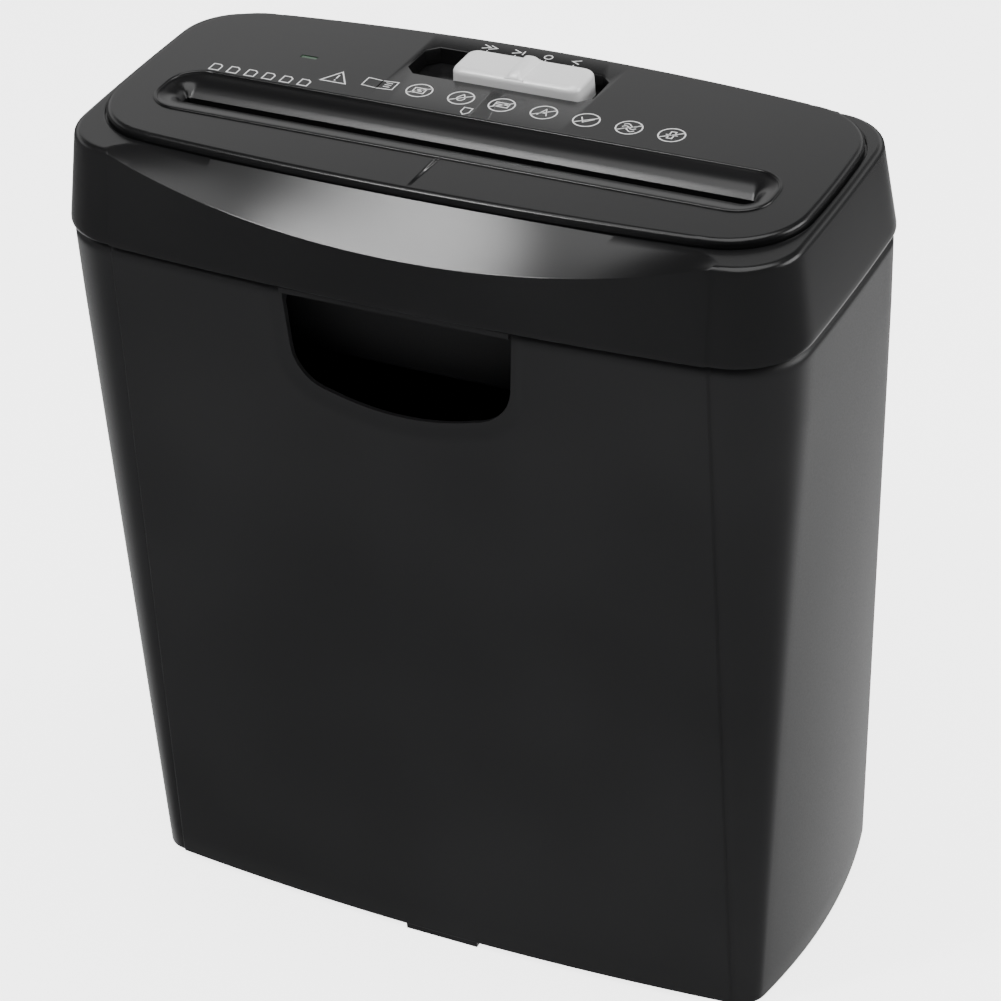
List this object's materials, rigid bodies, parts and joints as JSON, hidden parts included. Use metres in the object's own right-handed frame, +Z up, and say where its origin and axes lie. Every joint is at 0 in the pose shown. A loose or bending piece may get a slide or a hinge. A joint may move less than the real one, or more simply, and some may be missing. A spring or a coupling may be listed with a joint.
{
  "type": "paper shredder",
  "caption": "Small strip-cut paper shredder: a cutting head with paper throat, mode knob, motor and gear train that lifts off a tapered waste bin with a hand hold.",
  "frame": {"origin": "on the floor under the middle of the object's box", "axes": "+Z up, the front with the hand hold faces -Y, the long side runs along X"},
  "size_m": [0.282, 0.1368, 0.3231],
  "materials": {
    "bin_plastic": "moulded satin black",
    "cover_plastic": "moulded satin black",
    "inner_plastic": "moulded black",
    "knob_silver": "satin silver paint",
    "frame_steel": "zinc plated",
    "cutter_steel": "hardened and oiled",
    "bronze": "sintered",
    "brass": "cut",
    "white_nylon": "moulded",
    "motor_steel": "zinc plated",
    "core_iron": "laminated",
    "rubber": "soft",
    "board_green": "solder mask",
    "component": "moulded",
    "switch_black": "moulded",
    "lens": "clear green"
  },
  "bodies": {
    "bin": {"bin": "bin_plastic", "foot_pads": "rubber"},
    "head": {"top_cover": "cover_plastic", "lower_housing": "inner_plastic", "cover_screws": "frame_steel", "cord_gland": "rubber", "left_side_plate": "frame_steel", "right_side_plate": "frame_steel", "tie_rods": "frame_steel", "frame_screws": "frame_steel", "mounting_bushes": "rubber", "shaft_bushes": "bronze", "front_paper_guide": "inner_plastic", "rear_paper_guide": "inner_plastic", "front_stripper_comb": "inner_plastic", "rear_stripper_comb": "inner_plastic", "gear_axles": "cutter_steel", "axle_clips": "cutter_steel", "motor_can": "motor_steel", "motor_end_bell": "switch_black", "motor_screws": "frame_steel", "thermal_cutout": "switch_black", "circuit_board": "board_green", "board_components": "component", "board_screws": "frame_steel", "mode_switch": "switch_black", "indicator_lens": "lens", "indicator_led": "lens", "sensor_bracket": "inner_plastic", "sensor_pin": "frame_steel", "sensor_switch": "switch_black", "interlock_switch": "switch_black", "interlock_spring": "cutter_steel"},
    "mode_slider": {"mode_knob": "knob_silver", "switch_actuator": "inner_plastic"},
    "sensor": {"sensor_lever": "inner_plastic"},
    "interlock": {"interlock_plunger": "inner_plastic"},
    "front_cutter": {"front_cutter_shaft": "cutter_steel", "front_cutter_discs": "cutter_steel", "front_spacers": "white_nylon", "front_sync_gear": "cutter_steel"},
    "rear_cutter": {"rear_cutter_shaft": "cutter_steel", "rear_cutter_discs": "cutter_steel", "rear_spacers": "white_nylon", "rear_sync_gear": "cutter_steel", "drive_gear": "white_nylon", "drive_gear_clip": "cutter_steel"},
    "first_reduction": {"first_compound_gear": "white_nylon"},
    "second_reduction": {"second_compound_gear": "white_nylon"},
    "rotor": {"motor_shaft": "cutter_steel", "motor_armature": "core_iron", "motor_pinion": "brass"}
  },
  "joints": [
    {"name": "head_lift", "type": "slide", "parent": "bin", "child": "head", "axis": [0, 0, 1], "range_m": [0, 0.12]},
    {"name": "mode_slide", "type": "slide", "parent": "head", "child": "mode_slider", "axis": [1, 0, 0], "range_m": [-0.007, 0.0035]},
    {"name": "sensor_swing", "type": "hinge", "parent": "head", "child": "sensor", "pos_m": [0, -0.027, 0.302], "axis": [-1, 0, 0], "range_deg": [0, 17], "stiffness_Nm_per_rad": 0.01, "springref_deg": -17.19},
    {"name": "interlock_drop", "type": "slide", "parent": "head", "child": "interlock", "axis": [0, 0, 1], "range_m": [-0.003, 0], "deforming": ["interlock_spring"]},
    {"name": "rear_cutter_spin", "type": "hinge", "parent": "head", "child": "rear_cutter", "pos_m": [0, -0.0004, 0.283], "axis": [1, 0, 0], "continuous": true},
    {"name": "front_cutter_spin", "type": "hinge", "parent": "head", "child": "front_cutter", "pos_m": [0, -0.0224, 0.283], "axis": [1, 0, 0], "continuous": true},
    {"name": "second_reduction_spin", "type": "hinge", "parent": "head", "child": "second_reduction", "pos_m": [0, 0.02337, 0.2647], "axis": [1, 0, 0], "continuous": true},
    {"name": "first_reduction_spin", "type": "hinge", "parent": "head", "child": "first_reduction", "pos_m": [0, 0.02439, 0.28968], "axis": [1, 0, 0], "continuous": true},
    {"name": "rotor_spin", "type": "hinge", "parent": "head", "child": "rotor", "pos_m": [0, 0.0306, 0.2665], "axis": [1, 0, 0], "continuous": true}
  ],
  "couplings": [
    {"joint": "interlock_drop", "follows": "head_lift", "ratio": -0.025},
    {"joint": "front_cutter_spin", "follows": "rear_cutter_spin", "ratio": -1},
    {"joint": "second_reduction_spin", "follows": "rear_cutter_spin", "ratio": -3},
    {"joint": "first_reduction_spin", "follows": "rear_cutter_spin", "ratio": 12},
    {"joint": "rotor_spin", "follows": "rear_cutter_spin", "ratio": -60}
  ]
}
